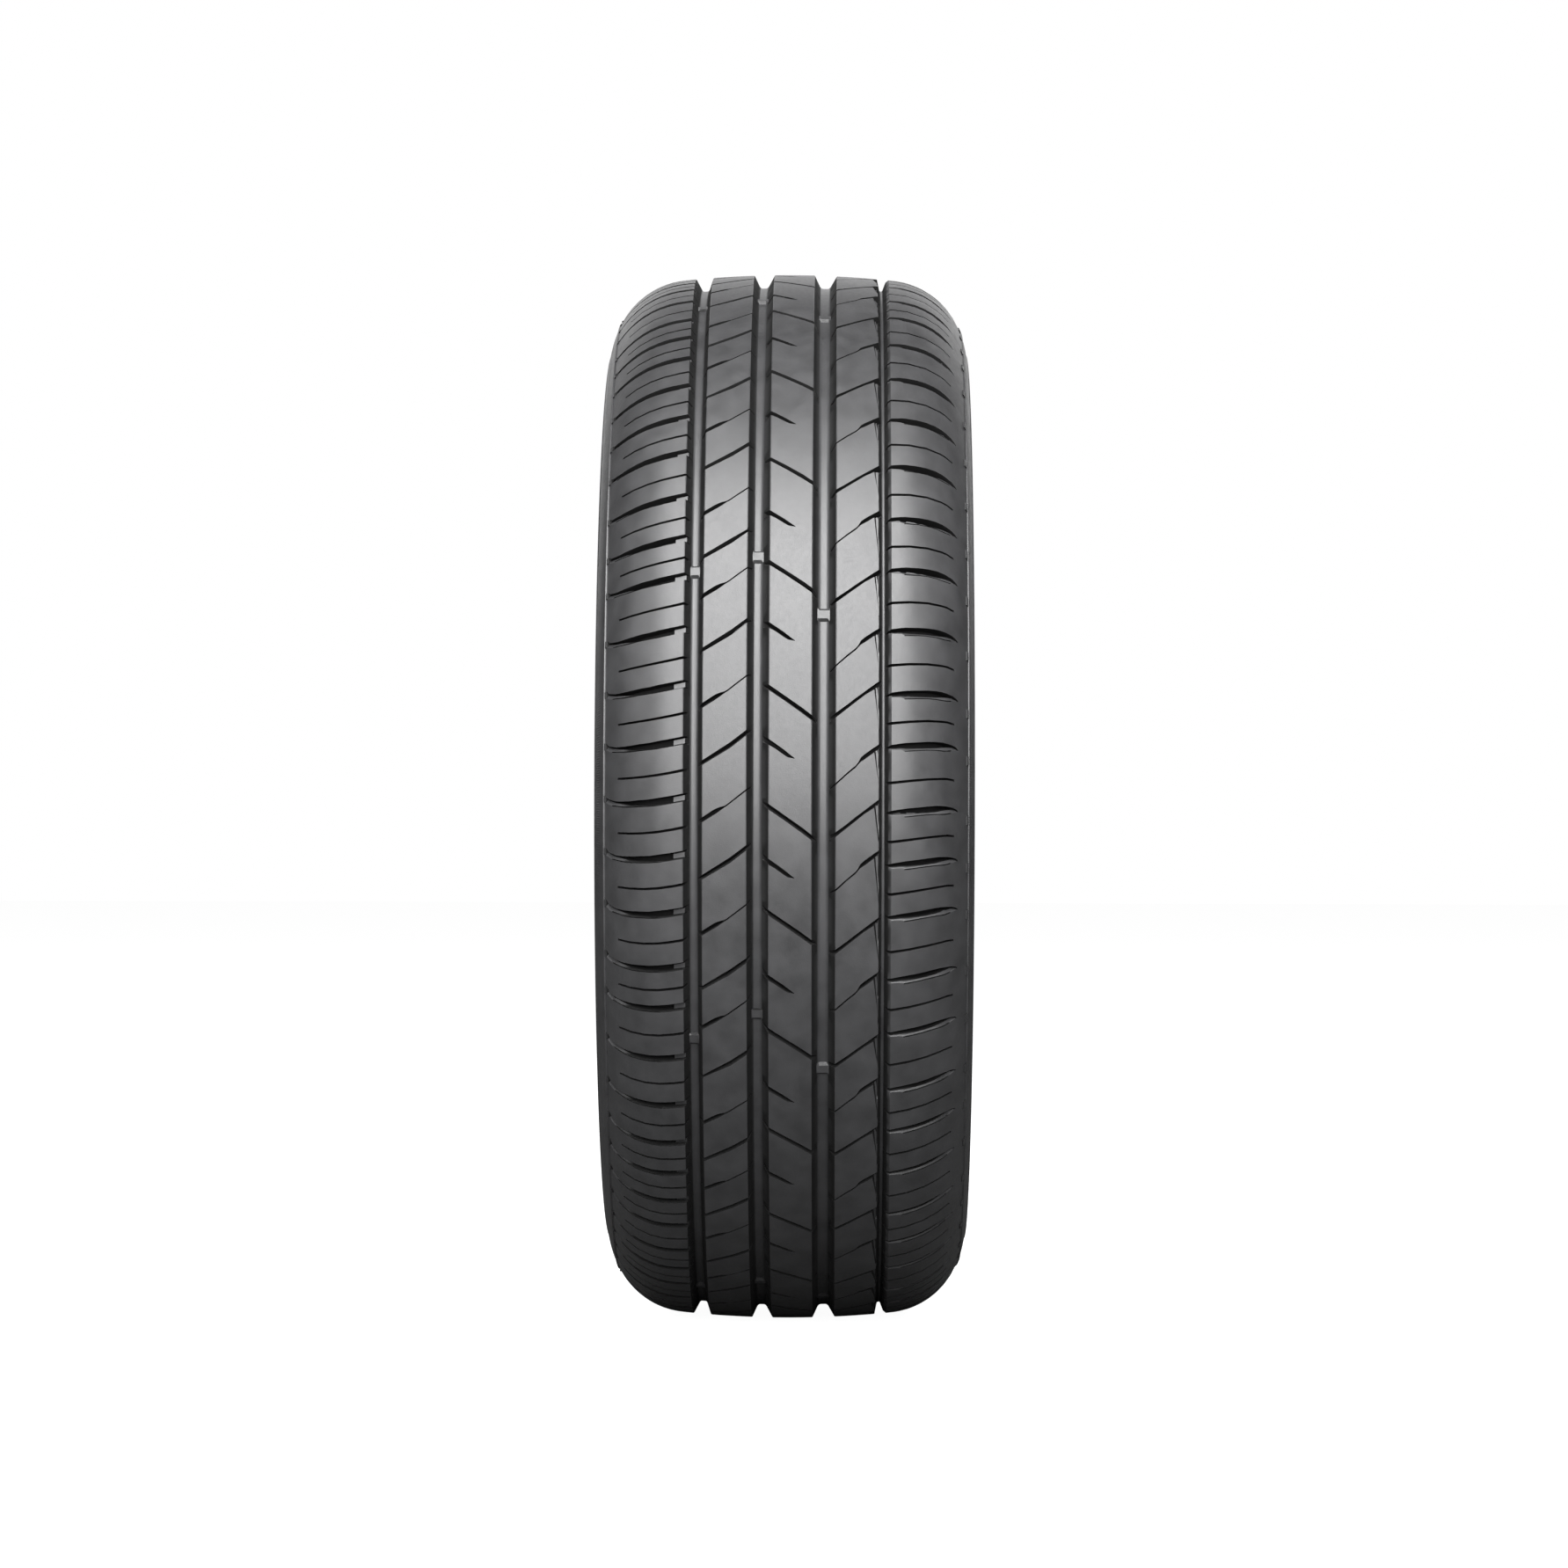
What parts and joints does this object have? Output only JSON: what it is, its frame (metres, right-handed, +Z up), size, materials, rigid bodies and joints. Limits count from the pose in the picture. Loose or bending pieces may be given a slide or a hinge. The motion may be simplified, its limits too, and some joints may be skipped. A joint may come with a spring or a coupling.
{
  "type": "car tyre",
  "caption": "Passenger car tyre with an asymmetric tread, four circumferential grooves, slotted ribs and two bead seats for a wheel rim.",
  "frame": {"origin": "wheel centre, on the spin axis midway between the sidewalls", "axes": "+Y along the spin axis towards the side with the narrow groove, +Z up, +X towards the viewer of the tread"},
  "size_m": [0.632, 0.2146, 0.632],
  "materials": {
    "tread_rubber": "satin"
  },
  "bodies": {
    "root": {"tyre": "tread_rubber"}
  },
  "joints": []
}
